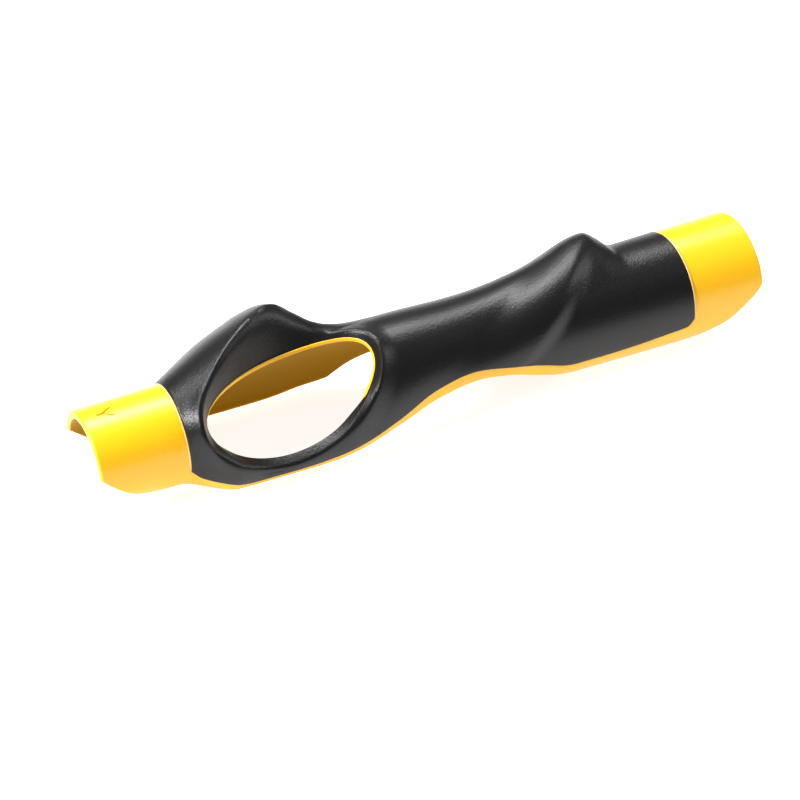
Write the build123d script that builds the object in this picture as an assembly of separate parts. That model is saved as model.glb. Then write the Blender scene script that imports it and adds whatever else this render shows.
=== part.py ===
from build123d import *
import math
import os

# Clip-on grip trainer for a golf club: an open plastic channel with a soft moulded skin.
# The channel snaps over the club's rubber grip. The thumb of the lower hand lies in the window,
# with the tall fin against it, and the second fin sits between the hands.
# Places along the channel run from the middle of its length, + towards the club's butt end.
# Angles go round the channel's axis from the crest, + towards the window's side, which is -Y.
# The parts are written with the origin on the axis at the butt end's mouth, and +Z up.

# Driving dimensions, mm
LENGTH = 200.0
BUTT_OUTER_R = 16.4
HEAD_OUTER_R = 13.4
WALL = 2.3
WAIST = 0.75
WAIST_X = 17.0
WAIST_REACH = 27.0

# Clamping lands at the two ends, and how far the hollow between them steps in
BUTT_LAND_R = 13.8
HEAD_LAND_R = 11.4
LAND_LENGTH = 20.0
LAND_STEP = 0.3

# Soft skin: where it ends, and how deep its bed is sunk in the shell
HEAD_SEAM_X = -75.5
BUTT_SEAM_X = 77.5
SKIN_DEPTH = 1.1
ROOM_R = 28.0

# Sides that splay out round the thumb window
FLARE = 6.3
FLARE_START = -77.5
FLARE_END = 0.0

# Where the far side's lower edges climb earlier than the near side's
FAR_RISE = 2.6
FAR_DIP = 1.5
FAR_RISE_X = -13.0
FAR_RISE_REACH = 17.0
BAR_FLOOR = -40.0

# Thumb window on the unrolled wall
WINDOW_X = -44.0
WINDOW_ANGLE = 44.0
WINDOW_HALF_LENGTH = 24.1
WINDOW_HALF_WIDTH = 15.6
WINDOW_LEAN = -7.6
WINDOW_BOW = 3.7
WINDOW_FULLNESS = 1.9
UNROLL_R = 14.3

# Fins and lips
RIDGE_SOFTNESS = 0.18
FACE_ANGLE = 14.0
FIN_FAR_FOOT = -112.0
FIN_FAR_TOP = -48.0
STEP_X = 54.0
STEP_RUN = 34.0
STEP_ANGLE = -28.0
STEP_SPAN = 116.0
STEP_HEIGHT = 4.5
STEP_FADE = 3.4
LIP = 0.6
LIP_HEAD = 2.7
LIP_BUTT = 0.5

# Sunken arrow at the head end
ARROW_X = -94.1
ARROW_ARM = 3.4
ARROW_STEM = 1.6
ARROW_SPREAD = 32.0
ARROW_DEPTH = 0.45
ARROW_LINE = 0.55

HALF = LENGTH / 2


def ease(value, start, end):
    """Rise smoothly from 0 at start to 1 at end."""
    t = min(max((value - start) / (end - start), 0.0), 1.0)
    return t * t * (3 - 2 * t)


def bell(t):
    """One at zero, falling smoothly to nothing at one either way."""
    if abs(t) >= 1:
        return 0.0
    return 0.5 * (1 + math.cos(math.pi * t))


def crisp(t):
    """One at zero, falling in a straight line to nothing at one, with a small rounding at the top."""
    return max(1 + RIDGE_SOFTNESS - math.hypot(t, RIDGE_SOFTNESS), 0.0)


def smooth_line(points):
    """Make a smooth curve through a few points, without overshoot."""
    xs = [p[0] for p in points]
    ys = [p[1] for p in points]
    runs = [(ys[i + 1] - ys[i]) / (xs[i + 1] - xs[i]) for i in range(len(xs) - 1)]
    slopes = [runs[0]]
    for before, after in zip(runs, runs[1:]):
        same_way = before * after > 0
        slopes.append(2 * before * after / (before + after) if same_way else 0.0)
    slopes.append(runs[-1])

    def height(x):
        """The curve's height at x."""
        if x <= xs[0]:
            return ys[0] + slopes[0] * (x - xs[0])
        if x >= xs[-1]:
            return ys[-1] + slopes[-1] * (x - xs[-1])
        i = max(k for k in range(len(xs) - 1) if xs[k] <= x)
        wide = xs[i + 1] - xs[i]
        t = (x - xs[i]) / wide
        low = ys[i] * (1 + 2 * t) * (1 - t) ** 2 + slopes[i] * wide * t * (1 - t) ** 2
        high = ys[i + 1] * t * t * (3 - 2 * t) + slopes[i + 1] * wide * t * t * (t - 1)
        return low + high

    return height


# Side view of the shell's lower edge, place and height
shell_edge = smooth_line([
    (-HALF, 2.2), (-HALF + 4.4, -2.3), (-HALF + 10, -6.8), (-HALF + 17, -9.1), (-76, -9.7),
    (-70, -10.5), (-58, -11.5), (-42, -11.7), (-28, -10.6), (-14, -7.5), (-2, -3.1), (9, -1.2),
    (19, -2.8), (29, -6.6), (36, -9.6), (43, -11.9), (49, -12.2), (60, -11.9), (76, -11.4),
    (HALF - 12, -7.2), (HALF - 6.5, -2.3), (HALF - 2.4, 1.5), (HALF, 4.3),
])

# Side view of the skin's lower edge
skin_edge = smooth_line([
    (-76, -2.0), (-72.5, -5.6), (-68, -7.0), (-57, -8.4), (-43, -8.5), (-29, -7.6), (-16, -4.5),
    (-4, 0.4), (8, 2.5), (20, 0.8), (30, -2.3), (40, -5.3), (50, -5.3), (70, -4.0),
    (75.5, -3.3), (77.5, -0.5),
])

# How far the skin stands proud, and the heights and angles of the two fins' ridges
skin_proud = smooth_line([(-76, 0.5), (-12, 0.5), (8, 0.3), (40, 0.2), (78, 0.2)])
thumb_height = smooth_line([
    (-75.5, 0.0), (-71.5, 1.9), (-67.5, 3.8), (-61, 6.8), (-54, 9.3), (-48, 11.2), (-42.5, 12.1),
    (-39, 11.4), (-34, 7.7), (-29, 3.8), (-25, 1.9), (-19, 0.6), (-10, 0.0),
])
thumb_ridge = smooth_line([
    (-72, 50), (-70.5, 32), (-66, 15.5), (-62, 4.5), (-54, -11), (-43, -25), (-35, -33), (-20, -40),
])
butt_height = smooth_line([
    (-8, 0.0), (16, 0.5), (29, 1.3), (41, 2.9), (49.5, 4.4), (54, 4.7), (58.5, 2.7), (61.5, 0.4), (64, 0.0),
])
butt_ridge = smooth_line([(-3, 30), (6, 16), (16, 1), (27, -10), (38, -17), (54, -24)])


def cone_r(x):
    """Outer radius of the taper, with its slight waist."""
    plain = HEAD_OUTER_R + (BUTT_OUTER_R - HEAD_OUTER_R) * (x + HALF) / LENGTH
    return plain - WAIST * bell((x - WAIST_X) / WAIST_REACH)


def shell_r(x, angle):
    """Outer radius of the shell, with the sides splayed round the window."""
    along = ease(x, FLARE_START, -63) * (1 - ease(x, -35, FLARE_END))
    return cone_r(x) + FLARE * along * ease(abs(angle), 37, 132)


def core_r(x, angle):
    """Radius of the hollow between the two lands."""
    return shell_r(x, angle) - WALL - LAND_STEP


def thumb_fin(x, angle):
    """Height of the tall fin: a broad back and a steep face to the window."""
    back = ease(angle, FIN_FAR_FOOT, FIN_FAR_TOP)
    face = crisp(max((angle - thumb_ridge(x)) / FACE_ANGLE, 0.0))
    return max(thumb_height(x), 0.0) * back * face


def butt_fin(x, angle):
    """Height of the fin between the hands: a long ridge and a slanting step."""
    side = angle - butt_ridge(x)
    fall = crisp(side / 48) ** 1.5 if side > 0 else bell(side / 58)
    long_ridge = max(butt_height(x), 0.0) * fall
    turn = min(max((angle - STEP_ANGLE) / STEP_SPAN, 0.0), 1.0)
    reach = x - (STEP_X - STEP_RUN * turn ** 1.1)
    fade = bell(min(angle - STEP_ANGLE, 0) / 52)
    ramp = bell(reach / (24 if reach < 0 else 9.5))
    slant = (STEP_HEIGHT - STEP_FADE * turn) * fade * ramp
    return (long_ridge ** 2.5 + slant ** 2.5) ** 0.4


def window_reach(x, across):
    """One on the window's outline, less inside it and more outside it."""
    up = across / WINDOW_HALF_WIDTH
    along = (x - WINDOW_X - WINDOW_LEAN * up - WINDOW_BOW * up * up) / WINDOW_HALF_LENGTH
    return (abs(along) ** WINDOW_FULLNESS + abs(up) ** WINDOW_FULLNESS) ** (1 / WINDOW_FULLNESS)


def window_distance(x, angle):
    """About how far outside the window's outline a point lies."""
    across = math.radians(angle - WINDOW_ANGLE) * UNROLL_R
    small = 0.05
    here = window_reach(x, across)
    along = (window_reach(x + small, across) - here) / small
    up = (window_reach(x, across + small) - here) / small
    return (here - 1) / max(math.hypot(along, up), 1e-6)


def lip(x, angle):
    """Height of the soft rim round the window."""
    if not -45 < angle < 170:
        return 0.0
    away = max(window_distance(x, angle), 0.0)
    low = ease(angle, 50, 108)
    head = 1 - ease(x, -70, -54)
    butt = ease(x, -36, -22)
    height = (LIP + LIP_HEAD * head * (1 - 0.35 * low) + LIP_BUTT * butt) * ease(angle, -28, 26)
    gap = 3.0 - 2.3 * low - 1.3 * butt * (1 - low)
    if away < gap:
        return height * (0.45 + 0.55 * math.sin(0.5 * math.pi * away / gap))
    return height * crisp((away - gap) / (4.4 + 1.6 * low)) ** 1.7


def skin_r(x, angle):
    """Outer radius of the soft skin."""
    rise = (thumb_fin(x, angle) ** 4 + lip(x, angle) ** 4) ** 0.25
    return shell_r(x, angle) + skin_proud(x) + rise + butt_fin(x, angle)


def skin_bed_r(x, angle):
    """Radius of the bed that the skin is moulded on."""
    return shell_r(x, angle) - SKIN_DEPTH


def closed_wire(points):
    """Smooth closed wire whose points are evenly shared along it, so that sections match."""
    shares = [i / len(points) for i in range(len(points) + 1)]
    return Wire([Edge.make_spline(points, periodic=True, parameters=shares)])


def round_body(radius, start, end, count, turn_step=10):
    """Solid with the given radius at each place and angle."""
    sections = []
    for i in range(count):
        x = start + (end - start) * i / (count - 1)
        points = []
        for angle in range(-180, 180, turn_step):
            r = radius(x, angle)
            turn = math.radians(angle)
            points.append(Vector(x, -r * math.sin(turn), r * math.cos(turn)))
        sections.append(closed_wire(points))
    return Solid.make_loft(sections)


def bar_below(edge, start, end, count, middle_y, reach_y):
    """Everything under a lower edge between two places, as a bar across the channel."""
    xs = [start + (end - start) * i / (count - 1) for i in range(count)]
    outline = Spline(*[(x, edge(x)) for x in xs])
    outline += Polyline((end, edge(end)), (end, BAR_FLOOR), (start, BAR_FLOOR), (start, edge(start)))
    return Pos(0, middle_y, 0) * extrude(make_face(Plane.XZ * outline), amount=reach_y, both=True)


def cut_below(body, edge):
    """Open the body under a lower edge, and let the far side climb to the waist first."""

    def far_edge(x):
        """The far side's edge, which crosses the near one at both ends of its own rise."""
        climb = (FAR_RISE + FAR_DIP) * bell((x - FAR_RISE_X) / FAR_RISE_REACH)
        return edge(x) + climb - FAR_DIP

    body = body - bar_below(edge, -HALF - 1, HALF + 1, 35, 0, 30)
    start, end = FAR_RISE_X - FAR_RISE_REACH, FAR_RISE_X + FAR_RISE_REACH
    return body - bar_below(far_edge, start, end, 13, 17, 13)


def window_cutter():
    """Bar that opens the thumb window, widening outwards so that its walls are radial."""
    tilt = math.radians(WINDOW_ANGLE)
    outward = Vector(0, -math.sin(tilt), math.cos(tilt))
    upward = Vector(0, -math.cos(tilt), -math.sin(tilt))
    wires = []
    for depth in (1.5, 34.0):
        points = []
        for i in range(24):
            turn = math.radians(15 * i)
            power = 2 / WINDOW_FULLNESS
            along = math.copysign(abs(math.cos(turn)) ** power, math.cos(turn))
            up = math.copysign(abs(math.sin(turn)) ** power, math.sin(turn))
            x = WINDOW_X + WINDOW_HALF_LENGTH * along + WINDOW_LEAN * up + WINDOW_BOW * up * up
            across = depth * math.tan(WINDOW_HALF_WIDTH * up / UNROLL_R)
            points.append(Vector(x, 0, 0) + outward * depth + upward * across)
        wires.append(closed_wire(points))
    return Solid.make_loft(wires, ruled=True)


def arrow_cutter():
    """Thin arrow that points to the head end: a short stem and two arms."""
    mark = Pos(-ARROW_STEM / 2, 0, 0) * Box(ARROW_STEM, ARROW_LINE, 2 * ARROW_DEPTH)
    for side in (1, -1):
        arm = Pos(ARROW_ARM / 2, 0, 0) * Box(ARROW_ARM, ARROW_LINE, 2 * ARROW_DEPTH)
        mark += Rot(0, 0, side * ARROW_SPREAD) * arm
    return Pos(ARROW_X, 0, cone_r(ARROW_X)) * mark


def land_bore(end_x, radius):
    """Cylinder that cuts one end's land, running a little way out of the end."""
    inward = -1 if end_x > 0 else 1
    middle = end_x + inward * (LAND_LENGTH / 2 - 1)
    return Pos(middle, 0, 0) * Rot(0, 90, 0) * Cylinder(radius, LAND_LENGTH + 2)


window = window_cutter()
bed = round_body(skin_bed_r, HEAD_SEAM_X, BUTT_SEAM_X, 40)

# The skin, from its outer form down to its bed
skin = round_body(skin_r, HEAD_SEAM_X, BUTT_SEAM_X, 62, turn_step=5)
skin -= bed
skin = cut_below(skin, skin_edge)
skin -= window

# Everything outside the bed, for cutting the shell back where the skin lies
skin_length = BUTT_SEAM_X - HEAD_SEAM_X
skin_room = Pos(HEAD_SEAM_X + skin_length / 2, 0, 0) * Rot(0, 90, 0) * Cylinder(ROOM_R, skin_length)
skin_room -= bed
skin_room = cut_below(skin_room, skin_edge)

# The shell, hollowed, opened below, and cut back under the skin
shell = round_body(shell_r, -HALF, HALF, 51)
shell -= round_body(core_r, LAND_LENGTH - HALF - 1, HALF - LAND_LENGTH + 1, 41)
shell -= land_bore(HALF, BUTT_LAND_R)
shell -= land_bore(-HALF, HEAD_LAND_R)
shell = cut_below(shell, shell_edge)
shell -= skin_room
shell -= window
shell -= arrow_cutter()

nodes = {"clip_shell": shell, "soft_grip": skin}

os.makedirs("parts", exist_ok=True)
for name, solid in nodes.items():
    export_step(Pos(-HALF, 0, 0) * solid, f"parts/{name}.step")
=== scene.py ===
import logging
import math
from dataclasses import dataclass, field
from enum import Enum
from typing import Callable, Sequence

import bpy
from mathutils import Matrix, Vector


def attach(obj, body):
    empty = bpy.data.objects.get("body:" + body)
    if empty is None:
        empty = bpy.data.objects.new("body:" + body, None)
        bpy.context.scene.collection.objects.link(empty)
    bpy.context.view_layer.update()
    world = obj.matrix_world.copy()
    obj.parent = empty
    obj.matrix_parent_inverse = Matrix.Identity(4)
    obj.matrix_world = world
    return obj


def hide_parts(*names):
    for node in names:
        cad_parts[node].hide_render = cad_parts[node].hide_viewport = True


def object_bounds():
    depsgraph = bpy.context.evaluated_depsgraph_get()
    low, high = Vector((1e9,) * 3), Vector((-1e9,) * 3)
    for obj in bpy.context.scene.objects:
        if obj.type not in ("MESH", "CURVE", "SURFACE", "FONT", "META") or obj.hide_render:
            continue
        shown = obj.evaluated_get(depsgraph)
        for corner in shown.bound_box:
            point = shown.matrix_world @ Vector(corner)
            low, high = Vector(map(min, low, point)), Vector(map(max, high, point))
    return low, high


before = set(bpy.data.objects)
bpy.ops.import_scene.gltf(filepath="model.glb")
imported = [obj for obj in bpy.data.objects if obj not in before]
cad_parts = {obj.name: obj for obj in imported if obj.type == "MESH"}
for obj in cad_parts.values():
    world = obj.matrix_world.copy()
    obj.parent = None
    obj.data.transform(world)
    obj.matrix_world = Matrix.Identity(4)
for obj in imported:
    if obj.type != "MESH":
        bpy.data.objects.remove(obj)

CAD_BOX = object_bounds()
MM = 0.001
FAR_AWAY = 99.0
SMOOTH_BELOW = math.radians(50)
LOG = logging.getLogger("grip_trainer")

Radius = Callable[[float, float], float]
Curve = Callable[[float], float]


class Side(Enum):
    """Which face of a moulded wall a point belongs to."""

    OUTER = 1
    INNER = -1


def ease(value: float, start: float, end: float) -> float:
    """Return 0 before start, 1 past end, and a smooth rise between them."""
    t = min(max((value - start) / (end - start), 0.0), 1.0)
    return t * t * (3 - 2 * t)


def bell(t: float) -> float:
    """Return one at zero, falling smoothly to nothing at one either way."""
    return 0.5 * (1 + math.cos(math.pi * t)) if abs(t) < 1 else 0.0


def smooth_line(points: Sequence[tuple[float, float]]) -> Curve:
    """Make a smooth curve through a few points, without overshoot.

    Args:
        points: places along the channel with the height at each, in order.

    Returns:
        A function that gives the height at any place.
    """
    xs = [p[0] for p in points]
    ys = [p[1] for p in points]
    runs = [(ys[i + 1] - ys[i]) / (xs[i + 1] - xs[i]) for i in range(len(xs) - 1)]
    slopes = [runs[0]]
    for before, after in zip(runs, runs[1:]):
        slopes.append(0.0 if before * after <= 0 else 2 * before * after / (before + after))
    slopes.append(runs[-1])

    def height(x: float) -> float:
        """Return the curve's height at x."""
        if x <= xs[0]:
            return ys[0] + slopes[0] * (x - xs[0])
        if x >= xs[-1]:
            return ys[-1] + slopes[-1] * (x - xs[-1])
        i = max(k for k in range(len(xs) - 1) if xs[k] <= x)
        wide = xs[i + 1] - xs[i]
        t = (x - xs[i]) / wide
        low = ys[i] * (1 + 2 * t) * (1 - t) ** 2 + slopes[i] * wide * t * (1 - t) ** 2
        high = ys[i + 1] * t * t * (3 - 2 * t) + slopes[i + 1] * wide * t * t * (t - 1)
        return low + high

    return height


def linear_rgb(code: str) -> tuple[float, float, float, float]:
    """Turn an sRGB hex colour to linear light.

    Args:
        code: six hex digits after a hash.

    Returns:
        Red, green, blue and an alpha of one.
    """
    parts = [int(code[i:i + 2], 16) / 255 for i in (1, 3, 5)]
    light = [c / 12.92 if c <= 0.04045 else ((c + 0.055) / 1.055) ** 2.4 for c in parts]
    return (light[0], light[1], light[2], 1.0)


@dataclass
class WindowShape:
    """Egg-shaped thumb window, drawn on the unrolled wall."""

    middle_x: float = -44.0
    middle_angle: float = 44.0
    half_length: float = 24.1
    half_width: float = 15.6
    unroll_r: float = 14.3
    lean: float = -7.6
    bow: float = 3.7
    fullness: float = 1.9

    def across(self, angle: float) -> float:
        """Return the unrolled distance of an angle from the window's middle line."""
        return math.radians(angle - self.middle_angle) * self.unroll_r

    def outline(self, turn: float) -> tuple[float, float]:
        """Give a point of the outline.

        Args:
            turn: angle round the window, in radians.

        Returns:
            Place along the channel in millimetres and angle round the axis in degrees.
        """
        c, s = math.cos(turn), math.sin(turn)
        power = 2 / self.fullness
        along = math.copysign(abs(c) ** power, c)
        up = math.copysign(abs(s) ** power, s)
        x = self.middle_x + self.half_length * along + self.lean * up + self.bow * up * up
        return x, self.middle_angle + math.degrees(self.half_width * up / self.unroll_r)

    def reach(self, x: float, across: float) -> float:
        """Return 1 on the outline, less inside it and more outside it."""
        up = across / self.half_width
        along = (x - self.middle_x - self.lean * up - self.bow * up * up) / self.half_length
        return (abs(along) ** self.fullness + abs(up) ** self.fullness) ** (1 / self.fullness)

    def distance(self, x: float, angle: float) -> float:
        """Return about how far outside the outline a point lies, in millimetres."""
        across = self.across(angle)
        here = self.reach(x, across)
        small = 0.05
        along = (self.reach(x + small, across) - here) / small
        up = (self.reach(x, across + small) - here) / small
        return (here - 1) / max(math.hypot(along, up), 1e-6)


@dataclass
class Form:
    """Sizes of the moulded channel in millimetres, from the middle of its length."""

    length: float
    butt_outer_r: float = 16.4
    head_outer_r: float = 13.4
    wall: float = 2.3
    flare: float = 6.3
    flare_start: float = -77.5
    flare_full: float = -63.0
    flare_fall: float = -35.0
    flare_end: float = 0.0
    flare_top: float = 37.0
    flare_foot: float = 132.0
    waist: float = 0.75
    waist_x: float = 17.0
    waist_reach: float = 27.0
    far_rise: float = 2.6
    far_dip: float = 1.5
    far_rise_x: float = -13.0
    far_rise_reach: float = 17.0
    skin_depth: float = 1.1
    feather: float = 0.2
    ridge_soft: float = 0.18
    face_angle: float = 14.0
    fin_far_foot: float = -112.0
    fin_far_top: float = -48.0
    long_ridge_near: float = 48.0
    long_ridge_far: float = -58.0
    step_angle: float = -28.0
    step_span: float = 116.0
    step_far: float = 52.0
    step_x: float = 54.0
    step_run: float = 34.0
    step_height: float = 4.5
    step_fade: float = 3.4
    step_rise: float = 24.0
    step_drop: float = 9.5
    lip_plain: float = 0.6
    lip_head: float = 2.7
    lip_butt: float = 0.5
    lip_gap: float = 3.0
    lip_fall: float = 4.4
    funnel: float = 1.1
    funnel_head: float = 0.9
    head_seam: float = -75.5
    butt_seam: float = 77.5
    window: WindowShape = field(default_factory=WindowShape)

    def __post_init__(self) -> None:
        """Draw the side-view edges and the lines of the fins."""
        half = self.length / 2
        self.shell_edge = smooth_line([
            (-half, 2.2), (-half + 4.4, -2.3), (-half + 10, -6.8), (-half + 17, -9.1), (-76, -9.7),
            (-70, -10.5), (-58, -11.5), (-42, -11.7), (-28, -10.6), (-14, -7.5), (-2, -3.1), (9, -1.2),
            (19, -2.8), (29, -6.6), (36, -9.6), (43, -11.9), (49, -12.2), (60, -11.9), (76, -11.4),
            (half - 12, -7.2), (half - 6.5, -2.3), (half - 2.4, 1.5), (half, 4.3),
        ])
        self.skin_edge = smooth_line([
            (-76, -2.0), (-72.5, -5.6), (-68, -7.0), (-57, -8.4), (-43, -8.5), (-29, -7.6), (-16, -4.5),
            (-4, 0.4), (8, 2.5), (20, 0.8), (30, -2.3), (40, -5.3), (50, -5.3), (70, -4.0),
            (75.5, -3.3), (77.5, -0.5),
        ])
        self.proud = smooth_line([(-76, 0.5), (-12, 0.5), (8, 0.3), (40, 0.2), (78, 0.2)])
        self.thumb_height = smooth_line([
            (-75.5, 0.0), (-71.5, 1.9), (-67.5, 3.8), (-61, 6.8), (-54, 9.3), (-48, 11.2), (-42.5, 12.1),
            (-39, 11.4), (-34, 7.7), (-29, 3.8), (-25, 1.9), (-19, 0.6), (-10, 0.0),
        ])
        self.thumb_ridge = smooth_line([
            (-72, 50), (-70.5, 32), (-66, 15.5), (-62, 4.5), (-54, -11), (-43, -25), (-35, -33),
            (-20, -40),
        ])
        self.butt_height = smooth_line([
            (-8, 0.0), (16, 0.5), (29, 1.3), (41, 2.9), (49.5, 4.4), (54, 4.7), (58.5, 2.7),
            (61.5, 0.4), (64, 0.0),
        ])
        self.butt_ridge = smooth_line([(-3, 30), (6, 16), (16, 1), (27, -10), (38, -17), (54, -24)])

    def cone(self, x: float) -> float:
        """Return the outer radius of the taper, with its slight waist."""
        share = (x + self.length / 2) / self.length
        plain = self.head_outer_r + (self.butt_outer_r - self.head_outer_r) * share
        return plain - self.waist * bell((x - self.waist_x) / self.waist_reach)

    def shell(self, x: float, angle: float) -> float:
        """Return the shell's outer radius, with the sides splayed round the window."""
        along = ease(x, self.flare_start, self.flare_full) * (1 - ease(x, self.flare_fall, self.flare_end))
        return self.cone(x) + self.flare * along * ease(abs(angle), self.flare_top, self.flare_foot)

    def core(self, x: float, angle: float) -> float:
        """Return the radius of the hollow."""
        return self.shell(x, angle) - self.wall

    def thumb_fin(self, x: float, angle: float) -> float:
        """Return the height of the tall fin: a broad back and a steep face to the window."""
        back = ease(angle, self.fin_far_foot, self.fin_far_top)
        past = max((angle - self.thumb_ridge(x)) / self.face_angle, 0.0)
        face = 1 + self.ridge_soft - math.hypot(past, self.ridge_soft)
        return max(self.thumb_height(x), 0.0) * back * max(face, 0.0)

    def butt_fin(self, x: float, angle: float) -> float:
        """Return the height of the butt-side fin: a long ridge and a slanting step."""
        near = angle > self.butt_ridge(x)
        side = (angle - self.butt_ridge(x)) / (self.long_ridge_near if near else self.long_ridge_far)
        hollow = max(1 + self.ridge_soft - math.hypot(side, self.ridge_soft), 0.0) ** 1.5
        long_ridge = max(self.butt_height(x), 0.0) * (hollow if near else bell(side))
        turn = min(max((angle - self.step_angle) / self.step_span, 0.0), 1.0)
        reach = x - (self.step_x - self.step_run * turn ** 1.1)
        fade = bell(min(angle - self.step_angle, 0) / self.step_far)
        slope = bell(reach / (self.step_rise if reach < 0 else self.step_drop))
        slant = (self.step_height - self.step_fade * turn) * fade * slope
        return (long_ridge ** 2.5 + slant ** 2.5) ** 0.4

    def lip(self, x: float, angle: float) -> float:
        """Return the height of the soft rim round the window."""
        if not -45 < angle < 170:
            return 0.0
        away = max(self.window.distance(x, angle), 0.0)
        low = ease(angle, 50, 108)
        head = 1 - ease(x, -70, -54)
        butt = ease(x, -36, -22)
        height = self.lip_plain + self.lip_head * head * (1 - 0.35 * low) + self.lip_butt * butt
        gap = self.lip_gap - 2.3 * low - 1.3 * butt * (1 - low)
        fall = self.lip_fall + 1.6 * low
        near = ease(angle, -28, 26)
        if away < gap:
            return height * near * (0.45 + 0.55 * math.sin(0.5 * math.pi * away / gap))
        past = (away - gap) / fall
        face = max(1 + self.ridge_soft - math.hypot(past, self.ridge_soft), 0.0)
        return height * near * face ** 1.7

    def skin(self, x: float, angle: float) -> float:
        """Return the outer radius of the soft skin."""
        rise = (self.thumb_fin(x, angle) ** 4 + self.lip(x, angle) ** 4) ** 0.25
        thick = self.proud(x) + rise + self.butt_fin(x, angle) + self.skin_depth
        if -60 < angle < 98:
            away = max(self.window.distance(x, angle) - 0.35, 0.0)
            reach = self.funnel + self.funnel_head * (1 - ease(x, -70, -57))
            slope = min(away / reach, 1.0)
            sides = 1 - ease(angle, 45, 98)
            thick = self.feather + (thick - self.feather) * (1 - sides * (1 - slope) ** 1.3)
        return self.shell(x, angle) - self.skin_depth + thick

    def from_hole(self, x: float, angle: float, margin: Curve) -> float:
        """Return how far a point lies from a hole held back by a margin, or far away on the far side."""
        if not -60 < angle < 170:
            return FAR_AWAY
        return self.window.distance(x, angle) - margin(angle)

    def wrap(self, edge: Curve, x: float, flank: int) -> float:
        """Find how far round from the crest the wall goes.

        Args:
            edge: the side-view edge that the wall stops at.
            x: place along the channel.
            flank: 1 for the near side, -1 for the far side, which climbs to the waist earlier.

        Returns:
            The angle in degrees where the shell's outside meets the edge.
        """
        low, high = 50.0, 165.0
        target = edge(x)
        if flank < 0:
            climb = bell((x - self.far_rise_x) / self.far_rise_reach)
            target += max((self.far_rise + self.far_dip) * climb - self.far_dip, 0.0)
        for _ in range(26):
            middle = (low + high) / 2
            if self.shell(x, middle) * math.cos(math.radians(middle)) > target:
                low = middle
            else:
                high = middle
        return low


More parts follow.
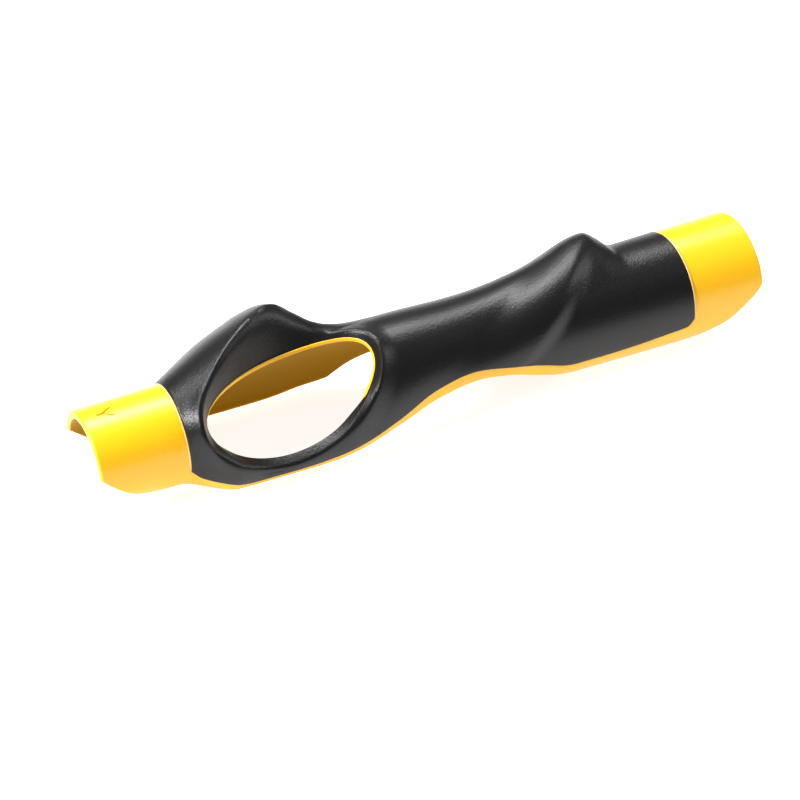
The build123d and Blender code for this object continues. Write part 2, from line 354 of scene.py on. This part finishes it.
@dataclass
class Blank:
    """Flat pattern of a wall with the window cut out, before it is wrapped round the channel."""

    form: Form
    edge: Curve
    start: float
    end: float
    margin: Curve
    across_count: int = 78
    along_count: int = 104
    ring_count: int = 58
    butt_count: int = 150
    join_x: float = -8.0
    wraps: dict[tuple[float, int], float] = field(default_factory=dict)

    FINE = (0.0, 0.08, 0.2, 0.38, 0.62, 0.95, 1.4, 2.0)

    def spread(self, span: float, count: int, at_start: bool = True, at_end: bool = True) -> list[float]:
        """Share out a span, closer together at its finished edges.

        Args:
            span: length in millimetres.
            count: number of steps.
            at_start: whether the first end is a finished edge.
            at_end: whether the last end is a finished edge.

        Returns:
            Places from 0 to span.
        """
        head = list(self.FINE) if at_start else [0.0]
        tail = [span - f for f in reversed(self.FINE)] if at_end else [span]
        free = count - (len(head) - 1) - (len(tail) - 1)
        first, last = head[-1], tail[0]
        middle = [first + (last - first) * i / free for i in range(1, free)]
        return head + middle + tail

    def wrap_at(self, x: float, flank: int) -> float:
        """Return one flank's wrap angle at a place, looked up once for each place."""
        key = (round(x, 4), flank)
        if key not in self.wraps:
            self.wraps[key] = self.form.wrap(self.edge, x, flank)
        return self.wraps[key]

    def angle_at(self, x: float, share: float) -> float:
        """Return the angle at a share from the far edge, -1, to the near edge, 1."""
        return share * self.wrap_at(x, 1 if share > 0 else -1)

    def across_shares(self) -> list[float]:
        """Return the shares from the far edge, -1, to the near edge, 1."""
        half_arc = math.radians(self.wrap_at(self.join_x, 1)) * self.form.cone(self.join_x)
        return [s / half_arc - 1 for s in self.spread(2 * half_arc, self.across_count)]

    def rim(self) -> list[tuple[float, float]]:
        """Return the outer border of the window's panel, once round."""
        shares = self.across_shares()
        xs = [self.start + s for s in self.spread(self.join_x - self.start, self.along_count, True, False)]
        right = [(self.join_x, self.angle_at(self.join_x, s)) for s in shares]
        near = [(x, self.wrap_at(x, 1)) for x in reversed(xs)]
        left = [(self.start, self.angle_at(self.start, s)) for s in reversed(shares)]
        far = [(x, -self.wrap_at(x, -1)) for x in xs]
        return right[:-1] + near[:-1] + left[:-1] + far[:-1]

    def hole(self, border: Sequence[tuple[float, float]]) -> list[tuple[float, float]]:
        """Return the hole's outline, with one point for each point of the border.

        Args:
            border: points round the panel, each a place and an angle.

        Returns:
            Points of the window's outline, moved outwards by the pattern's own margin.
        """
        window = self.form.window
        points = []
        for x, angle in border:
            up = window.across(angle) / window.half_width
            turn = math.atan2(up, (x - window.middle_x) / window.half_length)
            edge_x, edge_angle = window.outline(turn)
            out_x, out_up = math.cos(turn), math.sin(turn)
            out = self.margin(edge_angle)
            points.append((edge_x + out * out_x, edge_angle + math.degrees(out * out_up / window.unroll_r)))
        return points

    def build(self, name: str) -> bpy.types.Object:
        """Make the flat pattern from grid primitives.

        Args:
            name: name of the new object.

        Returns:
            A flat mesh whose X is the place along the channel and whose Y is the angle.
        """
        border = self.rim()
        inner = self.hole(border)
        count = len(border)
        rings = []
        for (wx, wa), (bx, ba) in zip(inner, border):
            run = math.hypot(bx - wx, math.radians(ba - wa) * 15)
            rings.append([s / run for s in self.spread(run, self.ring_count)])
        window_panel = grid(name, self.ring_count, count)
        for vertex in window_panel.data.vertices:
            ring, k = vertex.index % (self.ring_count + 1), vertex.index // (self.ring_count + 1) % count
            share = rings[k][ring]
            (wx, wa), (bx, ba) = inner[k], border[k]
            vertex.co = ((wx + (bx - wx) * share) * MM, (wa + (ba - wa) * share) * MM, 0)
        butt_panel = grid(name + "_butt", self.butt_count, self.across_count)
        shares = self.across_shares()
        xs = [self.join_x + s for s in self.spread(self.end - self.join_x, self.butt_count, False, True)]
        for vertex in butt_panel.data.vertices:
            column, row = vertex.index % (self.butt_count + 1), vertex.index // (self.butt_count + 1)
            vertex.co = (xs[column] * MM, self.angle_at(xs[column], shares[row]) * MM, 0)
        return joined(window_panel, butt_panel)


def grid(name: str, columns: int, rows: int) -> bpy.types.Object:
    """Add a grid primitive with so many faces each way."""
    bpy.ops.object.select_all(action="DESELECT")
    bpy.ops.mesh.primitive_grid_add(x_subdivisions=columns, y_subdivisions=rows, size=1)
    sheet = bpy.context.active_object
    sheet.name = name
    sheet.data.name = name
    return sheet


def joined(first: bpy.types.Object, second: bpy.types.Object) -> bpy.types.Object:
    """Join two panels into the first and merge their shared line.

    Args:
        first: the panel that is kept.
        second: the panel that goes into it.

    Returns:
        The first object, with one clean mesh.
    """
    bpy.ops.object.select_all(action="DESELECT")
    second.select_set(True)
    first.select_set(True)
    bpy.context.view_layer.objects.active = first
    bpy.ops.object.join()
    bpy.ops.object.mode_set(mode="EDIT")
    bpy.ops.mesh.select_all(action="SELECT")
    bpy.ops.mesh.remove_doubles(threshold=0.00001)
    bpy.ops.mesh.normals_make_consistent(inside=False)
    bpy.ops.object.mode_set(mode="OBJECT")
    return first


def thickened(sheet: bpy.types.Object, depth: float) -> None:
    """Give a flat pattern a second face and closed borders with Solidify."""
    bpy.ops.object.select_all(action="DESELECT")
    sheet.select_set(True)
    bpy.context.view_layer.objects.active = sheet
    up = sum(f.normal.z for f in sheet.data.polygons) > 0
    if not up:
        bpy.ops.object.mode_set(mode="EDIT")
        bpy.ops.mesh.select_all(action="SELECT")
        bpy.ops.mesh.flip_normals()
        bpy.ops.object.mode_set(mode="OBJECT")
    wall = sheet.modifiers.new("wall", "SOLIDIFY")
    wall.thickness = depth
    wall.offset = -1
    bpy.ops.object.modifier_apply(modifier=wall.name)


def smoothed() -> None:
    """Make the active piece's faces point outwards and shade its gentle bends smooth."""
    bpy.ops.object.mode_set(mode="EDIT")
    bpy.ops.mesh.select_all(action="SELECT")
    bpy.ops.mesh.normals_make_consistent(inside=False)
    bpy.ops.object.mode_set(mode="OBJECT")
    bpy.ops.object.shade_smooth_by_angle(angle=SMOOTH_BELOW)


def wrapped(sheet: bpy.types.Object, place: Callable[[float, float, Side], Vector]) -> None:
    """Wrap a thick flat pattern round the channel and make its faces point outwards.

    Args:
        sheet: the pattern, with its outer face at zero height.
        place: gives a point in space from a place, an angle and a side.
    """
    for vertex in sheet.data.vertices:
        side = Side.OUTER if vertex.co.z > -0.5 * MM else Side.INNER
        vertex.co = place(vertex.co.x / MM, vertex.co.y / MM, side)
    smoothed()


def rounding(away: float, radius: float) -> float:
    """Return how far a surface drops at a distance from its rounded edge."""
    if away >= radius:
        return 0.0
    left = radius - max(away, 0.0)
    return radius - math.sqrt(max(radius * radius - left * left, 0.0))


def add_node(tree: bpy.types.NodeTree, kind: str, settings: dict | None = None,
             links: dict | None = None) -> bpy.types.Node:
    """Add a shader node with its settings and links.

    Args:
        tree: the material's node tree.
        kind: the node's type name.
        settings: attributes, and socket values by socket name.
        links: output sockets to join, by input socket name.

    Returns:
        The new node.
    """
    node = tree.nodes.new(kind)
    for key, value in (settings or {}).items():
        if key in node.inputs:
            node.inputs[key].default_value = value
        else:
            setattr(node, key, value)
    for key, source in (links or {}).items():
        tree.links.new(source, node.inputs[key])
    return node


def new_material(name: str) -> tuple[bpy.types.Material, bpy.types.NodeTree, bpy.types.Node]:
    """Start a material that has only a Principled shader and an output."""
    material = bpy.data.materials.new(name)
    material.use_nodes = True
    tree = material.node_tree
    tree.nodes.clear()
    shader = add_node(tree, "ShaderNodeBsdfPrincipled")
    add_node(tree, "ShaderNodeOutputMaterial", links={"Surface": shader.outputs["BSDF"]})
    return material, tree, shader


def noise(tree: bpy.types.NodeTree, where: bpy.types.NodeSocket, size_mm: float,
          detail: float) -> bpy.types.NodeSocket:
    """Add a noise of so many millimetres and return its factor."""
    settings = {"Scale": 1 / (size_mm * MM), "Detail": float(detail)}
    return add_node(tree, "ShaderNodeTexNoise", settings, {"Vector": where}).outputs["Fac"]


def mottle(tree: bpy.types.NodeTree, factor: bpy.types.NodeSocket, first: str,
           second: str) -> bpy.types.NodeSocket:
    """Blend two hex colours by a factor and return the colour."""
    node = add_node(tree, "ShaderNodeMix", {"data_type": "RGBA"}, {"Factor": factor})
    node.inputs[6].default_value = linear_rgb(first)
    node.inputs[7].default_value = linear_rgb(second)
    return node.outputs[2]


def bumped(tree: bpy.types.NodeTree, height: bpy.types.NodeSocket, strength: float, depth_mm: float,
           normal: bpy.types.NodeSocket | None = None) -> bpy.types.NodeSocket:
    """Add a bump of a real depth, on top of another if one is given.

    Args:
        tree: the material's node tree.
        height: the pattern that is raised.
        strength: share of the full slope.
        depth_mm: height of the pattern in millimetres.
        normal: normal of a bump that lies below.

    Returns:
        The bumped normal.
    """
    links = {"Height": height}
    if normal is not None:
        links["Normal"] = normal
    settings = {"Strength": strength, "Distance": depth_mm * MM}
    return add_node(tree, "ShaderNodeBump", settings, links).outputs["Normal"]


@dataclass(frozen=True)
class MouldedAbs:
    """Injection-moulded ABS in yellow.

    The polished mould leaves a soft gloss with a faint waviness, and light that enters
    the plastic comes out warmer, so thin edges glow orange. The inside is painted a deeper,
    browner colour and reflects less: a painted shade for the hollow.
    """

    colour: str = "#FFC30C"
    shade: str = "#FDB806"
    # painted shade: the darker brown that the hollow's faces are blended to
    inner: str = "#A87C02"
    roughness: float = 0.34
    wave_mm: float = 2.2
    grain_mm: float = 0.3

    def make(self) -> bpy.types.Material:
        """Build the material."""
        material, tree, shader = new_material("yellow_moulded_abs")
        where = add_node(tree, "ShaderNodeTexCoord").outputs["Object"]
        cloud = noise(tree, where, 14, 2)
        tint = mottle(tree, cloud, self.colour, self.shade)
        # painted shade: faces marked inside take the darker inner colour, and their reflection is turned down
        inside = add_node(tree, "ShaderNodeAttribute", {"attribute_name": "inside"}).outputs["Fac"]
        painted_shade_blend = add_node(tree, "ShaderNodeMix", {"data_type": "RGBA"}, {"Factor": inside})
        painted_shade_blend.inputs[7].default_value = linear_rgb(self.inner)
        tree.links.new(tint, painted_shade_blend.inputs[6])
        dull = add_node(tree, "ShaderNodeMapRange", {"To Min": 0.5, "To Max": 0.1}, {"Value": inside})
        tree.links.new(dull.outputs["Result"], shader.inputs["Specular IOR Level"])
        soft = bumped(tree, noise(tree, where, self.wave_mm, 1), 0.25, 0.05)
        fine = bumped(tree, noise(tree, where, self.grain_mm, 2), 0.35, 0.012, soft)
        spread = {"To Min": self.roughness - 0.04, "To Max": self.roughness + 0.05}
        gloss = add_node(tree, "ShaderNodeMapRange", spread, {"Value": cloud})
        tree.links.new(painted_shade_blend.outputs[2], shader.inputs["Base Color"])
        tree.links.new(gloss.outputs["Result"], shader.inputs["Roughness"])
        tree.links.new(fine, shader.inputs["Normal"])
        shader.inputs["IOR"].default_value = 1.53
        shader.inputs["Subsurface Weight"].default_value = 0.12
        shader.inputs["Subsurface Radius"].default_value = (1.0, 0.45, 0.1)
        shader.inputs["Subsurface Scale"].default_value = 1.2 * MM
        return material


@dataclass(frozen=True)
class SeamBeadPaintedHighlight:
    """Pale satin finish of the seam beads: a painted highlight for the bright line along each seam."""

    # painted highlight: pale colours that stand for the bright line the bead catches
    colour: str = "#E2BC78"
    shade: str = "#D8AC60"

    def make(self) -> bpy.types.Material:
        """Build the material."""
        material, tree, shader = new_material("seam_bead_painted_highlight")
        where = add_node(tree, "ShaderNodeTexCoord").outputs["Object"]
        tint = mottle(tree, noise(tree, where, 3, 2), self.colour, self.shade)
        tree.links.new(tint, shader.inputs["Base Color"])
        shader.inputs["Roughness"].default_value = 0.4
        return material


@dataclass(frozen=True)
class MouldedTpr:
    """Overmoulded thermoplastic rubber in black.

    The mould's fine spark texture breaks up reflections, so the skin has a grainy satin
    sheen on its ridges and falls to near black in its hollows.
    """

    colour: str = "#0A0A0B"
    worn: str = "#101011"
    roughness: float = 0.35
    grain_mm: float = 0.45

    def make(self) -> bpy.types.Material:
        """Build the material."""
        material, tree, shader = new_material("black_moulded_tpr")
        where = add_node(tree, "ShaderNodeTexCoord").outputs["Object"]
        tint = mottle(tree, noise(tree, where, 9, 3), self.colour, self.worn)
        grain = noise(tree, where, self.grain_mm, 3)
        cell_scale = {"Scale": 1 / (self.grain_mm * 1.6 * MM)}
        cells = add_node(tree, "ShaderNodeTexVoronoi", cell_scale, {"Vector": where})
        coarse = bumped(tree, cells.outputs["Distance"], 0.6, 0.05)
        fine = bumped(tree, grain, 1.0, 0.06, coarse)
        spread = {"To Min": self.roughness - 0.06, "To Max": self.roughness + 0.06}
        gloss = add_node(tree, "ShaderNodeMapRange", spread, {"Value": grain})
        tree.links.new(tint, shader.inputs["Base Color"])
        tree.links.new(gloss.outputs["Result"], shader.inputs["Roughness"])
        tree.links.new(fine, shader.inputs["Normal"])
        shader.inputs["IOR"].default_value = 1.5
        shader.inputs["Specular IOR Level"].default_value = 0.36
        return material


@dataclass(frozen=True)
class BacklitAcrylic:
    """Opal acrylic sheet lit from below, whose own soft light washes out most shadows."""

    colour: str = "#C4C4C4"
    shade: str = "#C0C0C0"
    glow: float = 0.84

    def make(self) -> bpy.types.Material:
        """Build the material."""
        material, tree, shader = new_material("white_backlit_acrylic")
        where = add_node(tree, "ShaderNodeTexCoord").outputs["Object"]
        tint = mottle(tree, noise(tree, where, 40, 2), self.colour, self.shade)
        tree.links.new(tint, shader.inputs["Base Color"])
        shader.inputs["Emission Color"].default_value = (1, 1, 1, 1)
        shader.inputs["Emission Strength"].default_value = self.glow
        shader.inputs["Roughness"].default_value = 0.9
        shader.inputs["Specular IOR Level"].default_value = 0.1
        return material


@dataclass
class ClipShell:
    """Rigid yellow channel that snaps over a club's grip."""

    form: Form
    edge_radius: float = 0.7
    rim_radius: float = 0.2
    bead_radius: float = 0.3
    arrow_x: float = -94.1
    arrow_arm: float = 3.2
    arrow_stem: float = 1.4
    arrow_spread: float = 32.0
    arrow_depth: float = 0.45
    arrow_line: float = 0.55

    @staticmethod
    def margin(angle: float) -> float:
        """Return how far the hole is held back behind the skin's turned-in rim."""
        return 0.5 * ease(angle, 60, 85)

    def bed(self, x: float, angle: float, wrap: float) -> float:
        """Return how deep the skin's bed is sunk at a point.

        Args:
            x: place along the channel.
            angle: angle round the axis.
            wrap: angle at which the skin stops on this flank.

        Returns:
            Depth in millimetres, nothing outside the skin.
        """
        form = self.form
        inside = min(x - form.head_seam, form.butt_seam - x, math.radians(wrap - abs(angle)) * form.cone(x))
        return form.skin_depth * ease(inside, 0.1, 1.0)

    def moulding(self) -> bpy.types.Object:
        """Mould the plain channel with its window and the skin's bed."""
        form = self.form
        half = form.length / 2
        blank = Blank(form, form.shell_edge, -half, half, self.margin)
        cover = Blank(form, form.skin_edge, -half, half, self.margin)
        sheet = blank.build("yellow_clip_shell")
        thickened(sheet, form.wall * MM)

        def place(x: float, angle: float, side: Side) -> Vector:
            """Return a point of the shell's outer or inner face."""
            flank = 1 if angle > 0 else -1
            round_edge = math.radians(blank.wrap_at(x, flank) - abs(angle)) * form.shell(x, angle)
            window = form.from_hole(x, angle, self.margin)
            drop = max(rounding(min(round_edge, half - abs(x)), self.edge_radius),
                       rounding(window, self.rim_radius))
            if side is Side.INNER:
                return polar(form, x, angle, form.core(x, angle) + drop)
            sunk = form.shell(x, angle) - self.bed(x, angle, cover.wrap_at(x, flank))
            return polar(form, x, angle, sunk - drop)

        wrapped(sheet, place)
        return sheet

    def bead(self, seam: float, edge: float) -> bpy.types.Object:
        """Raise a thin bead of plastic along one seam.

        Args:
            seam: place of the seam along the channel.
            edge: place where the skin's lower edge is read, just inside the skin.

        Returns:
            A closed tube that follows the shell round to the skin's lower edges.
        """
        form = self.form
        bpy.ops.object.select_all(action="DESELECT")
        bpy.ops.mesh.primitive_uv_sphere_add(segments=12, ring_count=120, radius=1)
        tube = bpy.context.active_object
        near, far = form.wrap(form.skin_edge, edge, 1), form.wrap(form.skin_edge, edge, -1)
        for vertex in tube.data.vertices:
            share = math.asin(max(-1.0, min(1.0, vertex.co.z))) / (math.pi / 2)
            round_tube = math.atan2(vertex.co.y, vertex.co.x)
            thick = self.bead_radius * min(1.0, 8 * (1 - abs(share)))
            angle = share * (near if share > 0 else far)
            radius = form.shell(seam, angle) + thick * math.sin(round_tube)
            vertex.co = polar(form, seam + thick * math.cos(round_tube), angle, radius)
        smoothed()
        return tube

    def sink_arrow(self, sheet: bpy.types.Object) -> None:
        """Cut the thin arrow that points to the head end, under the crest."""
        top = self.form.cone(self.arrow_x)
        spread, arm = self.arrow_spread, self.arrow_arm
        lines = [(0.0, -self.arrow_stem), (spread, arm), (-spread, arm)]
        for lean, length in lines:
            bpy.ops.object.select_all(action="DESELECT")
            bpy.ops.mesh.primitive_cube_add(size=1)
            cutter = bpy.context.active_object
            start = polar(self.form, self.arrow_x, 0, top)
            long = (abs(length) + self.arrow_line * 0.5) * MM
            shape = Matrix.Diagonal((long, self.arrow_line * MM, 2 * self.arrow_depth * MM, 1))
            slide = Matrix.Translation((math.copysign(abs(length) / 2 * MM, length), 0, 0))
            turn = Matrix.Rotation(math.radians(lean), 4, "Z")
            cutter.data.transform(Matrix.Translation(start) @ turn @ slide @ shape)
            cut = sheet.modifiers.new("arrow", "BOOLEAN")
            cut.operation = "DIFFERENCE"
            cut.object = cutter
            sheet.select_set(True)
            bpy.context.view_layer.objects.active = sheet
            bpy.ops.object.modifier_apply(modifier=cut.name)
            bpy.data.objects.remove(cutter, do_unlink=True)

    def mark_hollow_for_painted_shade(self, sheet: bpy.types.Object) -> None:
        """Mark the faces of the hollow with an attribute that the finish reads, for their painted shade."""
        form = self.form
        middle = polar(form, 0, 0, 0).x
        marks = []
        for face in sheet.data.polygons:
            centre = face.center
            angle = math.degrees(math.atan2(-centre.y, centre.z))
            hollow = form.core((centre.x - middle) / MM, angle) + 0.15
            marks.append(1.0 if math.hypot(centre.y, centre.z) / MM < hollow else 0.0)
        layer = sheet.data.attributes.new("inside", "FLOAT", "FACE")
        layer.data.foreach_set("value", marks)

    def build(self, plastic: bpy.types.Material, bead_highlight_paint: bpy.types.Material) -> bpy.types.Object:
        """Mould the shell, mark it, and add the beads at its two seams.

        Args:
            plastic: finish of the channel.
            bead_highlight_paint: finish of the beads, whose pale colour is a painted highlight.

        Returns:
            The finished shell.
        """
        form = self.form
        sheet = self.moulding()
        self.sink_arrow(sheet)
        self.mark_hollow_for_painted_shade(sheet)
        sheet.data.materials.append(plastic)
        for seam, edge in ((form.head_seam, form.head_seam + 1.5), (form.butt_seam, form.butt_seam - 1.0)):
            tube = self.bead(seam, edge)
            # the beads' pale finish is a painted highlight
            tube.data.materials.append(bead_highlight_paint)
            bpy.ops.object.select_all(action="DESELECT")
            tube.select_set(True)
            sheet.select_set(True)
            bpy.context.view_layer.objects.active = sheet
            bpy.ops.object.join()
        return sheet


@dataclass
class SoftGrip:
    """Black rubber skin moulded over the shell between its two rings."""

    form: Form
    seam_radius: float = 0.4
    lip_radius: float = 0.5

    @staticmethod
    def margin(angle: float) -> float:
        """Return how far the hole is held back to show the shell's cut edge."""
        return 0.3 * (1 - ease(angle, 60, 85))

    def build(self, rubber: bpy.types.Material) -> bpy.types.Object:
        """Mould the skin in its finish and return it."""
        form = self.form
        blank = Blank(form, form.skin_edge, form.head_seam, form.butt_seam, self.margin)
        sheet = blank.build("black_soft_grip")
        thickened(sheet, form.wall * MM)

        def place(x: float, angle: float, side: Side) -> Vector:
            """Return a point of the skin's outer face or of its bed."""
            away = form.from_hole(x, angle, self.margin)
            low = ease(angle, 60, 88)
            if side is Side.INNER:
                turned_in = low * (1 - ease(away, 0.5, 3.0))
                bed = form.skin_depth + (form.wall - form.skin_depth + 0.15) * turned_in
                return polar(form, x, angle, form.shell(x, angle) - bed)
            flank = 1 if angle > 0 else -1
            round_edge = math.radians(blank.wrap_at(x, flank) - abs(angle)) * form.shell(x, angle)
            seam = min(round_edge, x - form.head_seam, form.butt_seam - x)
            rim = self.lip_radius * low + 0.08
            drop = max(rounding(max(away, 0), rim), rounding(seam, self.seam_radius))
            return polar(form, x, angle, form.skin(x, angle) - drop)

        wrapped(sheet, place)
        sheet.data.materials.append(rubber)
        return sheet


def polar(form: Form, x: float, angle: float, radius: float) -> Vector:
    """Turn a place, an angle and a radius to a point in the row's frame, in metres."""
    turn = math.radians(angle)
    middle = CAD_BOX[1].x - form.length / 2 * MM
    return Vector((middle + x * MM, -radius * math.sin(turn) * MM, radius * math.cos(turn) * MM))


@dataclass
class Studio:
    """Lit white floor, soft lights and the camera."""

    form: Form
    azimuth: float = -26.2163
    elevation: float = 38.0
    distance: float = 736.1
    lens: float = 119.9
    shift_right: float = -6.648
    shift_up: float = -11.373
    light_distance: float = 1.2
    light_target: tuple[float, float, float] = (-0.1, 0.0, 0.0)
    floor_gap_mm: float = 0.2

    @staticmethod
    def towards(azimuth: float, elevation: float) -> Vector:
        """Return the direction of an azimuth and an elevation in degrees."""
        a, e = math.radians(azimuth), math.radians(elevation)
        return Vector((math.sin(a) * math.cos(e), -math.cos(a) * math.cos(e), math.sin(e)))

    def aim(self) -> tuple[Vector, Vector, Vector]:
        """Return the camera's right, up and back directions."""
        back = self.towards(self.azimuth, self.elevation)
        right = Vector((0, 0, 1)).cross(back).normalized()
        return right, back.cross(right), back

    def camera(self) -> None:
        """Place the camera and make it the scene's own."""
        right, up, back = self.aim()
        centre = Vector((CAD_BOX[1].x - self.form.length / 2 * MM, 0, 0))
        data = bpy.data.cameras.new("camera")
        data.lens = self.lens
        data.sensor_width = 36
        data.clip_start = 0.01
        camera = bpy.data.objects.new("camera", data)
        bpy.context.scene.collection.objects.link(camera)
        camera.location = centre + (right * self.shift_right + up * self.shift_up + back * self.distance) * MM
        camera.rotation_mode = "QUATERNION"
        camera.rotation_quaternion = (-back).to_track_quat("-Z", "Y")
        bpy.context.scene.camera = camera

    def floor(self) -> None:
        """Lay the lit sheet just under the object."""
        bpy.ops.object.select_all(action="DESELECT")
        bpy.ops.mesh.primitive_plane_add(size=6)
        floor = bpy.context.active_object
        floor.name = "lit_floor"
        floor.data.transform(Matrix.Translation((0, 0, CAD_BOX[0].z - self.floor_gap_mm * MM)))
        floor.data.materials.append(BacklitAcrylic().make())

    def light(self, name: str, azimuth: float, elevation: float, size: tuple[float, float],
              watts: float) -> None:
        """Hang a soft box that faces the object.

        Args:
            name: name of the light.
            azimuth: direction it stands in, as for the camera.
            elevation: height above the floor, in degrees.
            size: width and height in metres.
            watts: power.
        """
        back = self.towards(azimuth, elevation)
        data = bpy.data.lights.new(name, "AREA")
        data.shape = "RECTANGLE"
        data.size, data.size_y = size
        data.energy = watts
        lamp = bpy.data.objects.new(name, data)
        bpy.context.scene.collection.objects.link(lamp)
        lamp.location = Vector(self.light_target) + back * self.light_distance
        lamp.rotation_mode = "QUATERNION"
        lamp.rotation_quaternion = (-back).to_track_quat("-Z", "Y")

    def build(self) -> None:
        """Set up the studio."""
        self.camera()
        self.floor()
        self.light("top_box", 180, 62, (1.2, 0.3), 23)
        self.light("key_left", -92, 36, (0.2, 0.2), 18)
        self.light("right_box", 80, 30, (0.3, 0.7), 3)
        world = bpy.data.worlds.new("studio_air")
        world.use_nodes = True
        world.node_tree.nodes["Background"].inputs["Color"].default_value = (1, 1, 1, 1)
        world.node_tree.nodes["Background"].inputs["Strength"].default_value = 0.18
        bpy.context.scene.world = world
        bpy.context.scene.view_settings.view_transform = "Standard"


def dress(piece: bpy.types.Object, node: str) -> None:
    """Attach a finished piece to the root body and hide the CAD node it stands for."""
    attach(piece, "root")
    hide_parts(node)


def main() -> None:
    """Build the trainer and its studio."""
    logging.basicConfig(level=logging.INFO, format="%(message)s")
    low, high = CAD_BOX
    form = Form(length=round((high.x - low.x) / MM, 3))
    shell = ClipShell(form).build(MouldedAbs().make(), SeamBeadPaintedHighlight().make())
    dress(shell, "clip_shell")
    LOG.info("clip shell: %d faces", len(shell.data.polygons))
    skin = SoftGrip(form).build(MouldedTpr().make())
    dress(skin, "soft_grip")
    LOG.info("soft grip: %d faces", len(skin.data.polygons))
    Studio(form).build()
    LOG.info("studio ready")


if __name__ == "__main__":
    main()
